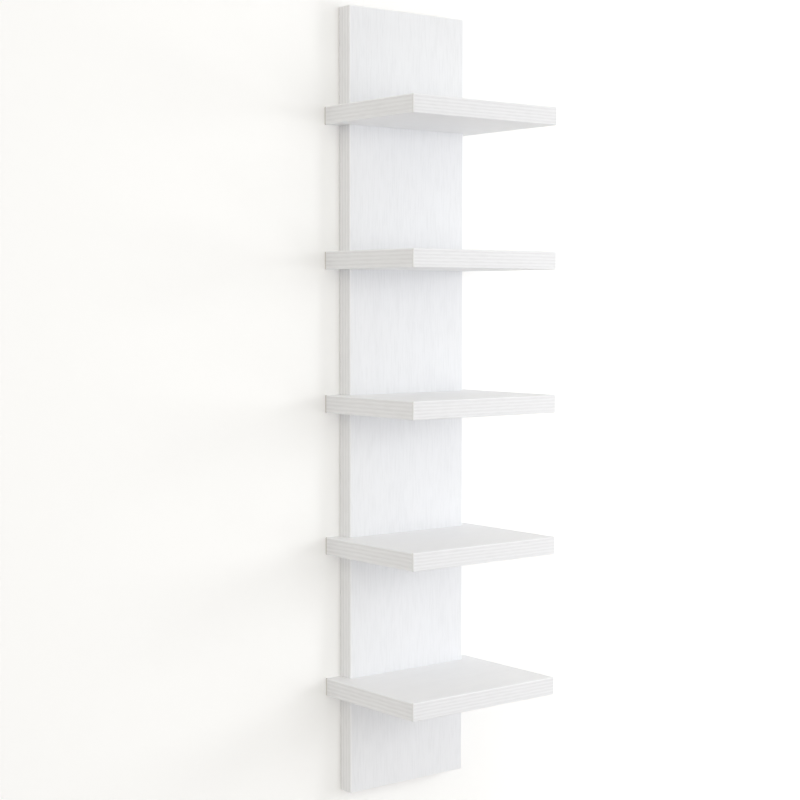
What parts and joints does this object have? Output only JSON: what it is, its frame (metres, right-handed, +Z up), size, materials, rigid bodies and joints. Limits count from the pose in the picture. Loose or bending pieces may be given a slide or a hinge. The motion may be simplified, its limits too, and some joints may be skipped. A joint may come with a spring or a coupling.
{
  "type": "wall shelf",
  "caption": "Tall white wall shelf: a narrow spine board hangs flat on the wall on recessed keyhole plates and carries evenly spaced notched shelves for books and ornaments.",
  "frame": {"origin": "centre of the spine's back face, on the wall", "axes": "+X right along the wall, +Y into the wall, +Z up; the shelves stand out towards -Y"},
  "size_m": [0.186, 0.142, 0.8],
  "materials": {
    "laminate_board": "chipboard faced with matt white melamine with a fine wood grain",
    "edge_band": "matt white ABS edging with fine grain lines along its length",
    "screw_steel": "bright zinc plated",
    "plate_steel": "zinc plated pressed plate",
    "beech": "turned beech, uncoated"
  },
  "bodies": {
    "root": {"spine_board": "laminate_board", "spine_edge_left": "edge_band", "spine_edge_right": "edge_band", "spine_edge_bottom": "edge_band", "spine_edge_top": "edge_band", "shelf_1_board": "laminate_board", "shelf_1_edge_front": "edge_band", "shelf_1_edge_left": "edge_band", "shelf_1_edge_right": "edge_band", "shelf_1_edge_back_left": "edge_band", "shelf_1_edge_back_right": "edge_band", "shelf_2_board": "laminate_board", "shelf_2_edge_front": "edge_band", "shelf_2_edge_left": "edge_band", "shelf_2_edge_right": "edge_band", "shelf_2_edge_back_left": "edge_band", "shelf_2_edge_back_right": "edge_band", "shelf_3_board": "laminate_board", "shelf_3_edge_front": "edge_band", "shelf_3_edge_left": "edge_band", "shelf_3_edge_right": "edge_band", "shelf_3_edge_back_left": "edge_band", "shelf_3_edge_back_right": "edge_band", "shelf_4_board": "laminate_board", "shelf_4_edge_front": "edge_band", "shelf_4_edge_left": "edge_band", "shelf_4_edge_right": "edge_band", "shelf_4_edge_back_left": "edge_band", "shelf_4_edge_back_right": "edge_band", "shelf_5_board": "laminate_board", "shelf_5_edge_front": "edge_band", "shelf_5_edge_left": "edge_band", "shelf_5_edge_right": "edge_band", "shelf_5_edge_back_left": "edge_band", "shelf_5_edge_back_right": "edge_band", "shelf_screws": "screw_steel", "shelf_dowels": "beech", "hanger_plate_upper": "plate_steel", "hanger_plate_lower": "plate_steel", "hanger_screws": "screw_steel"}
  },
  "joints": []
}
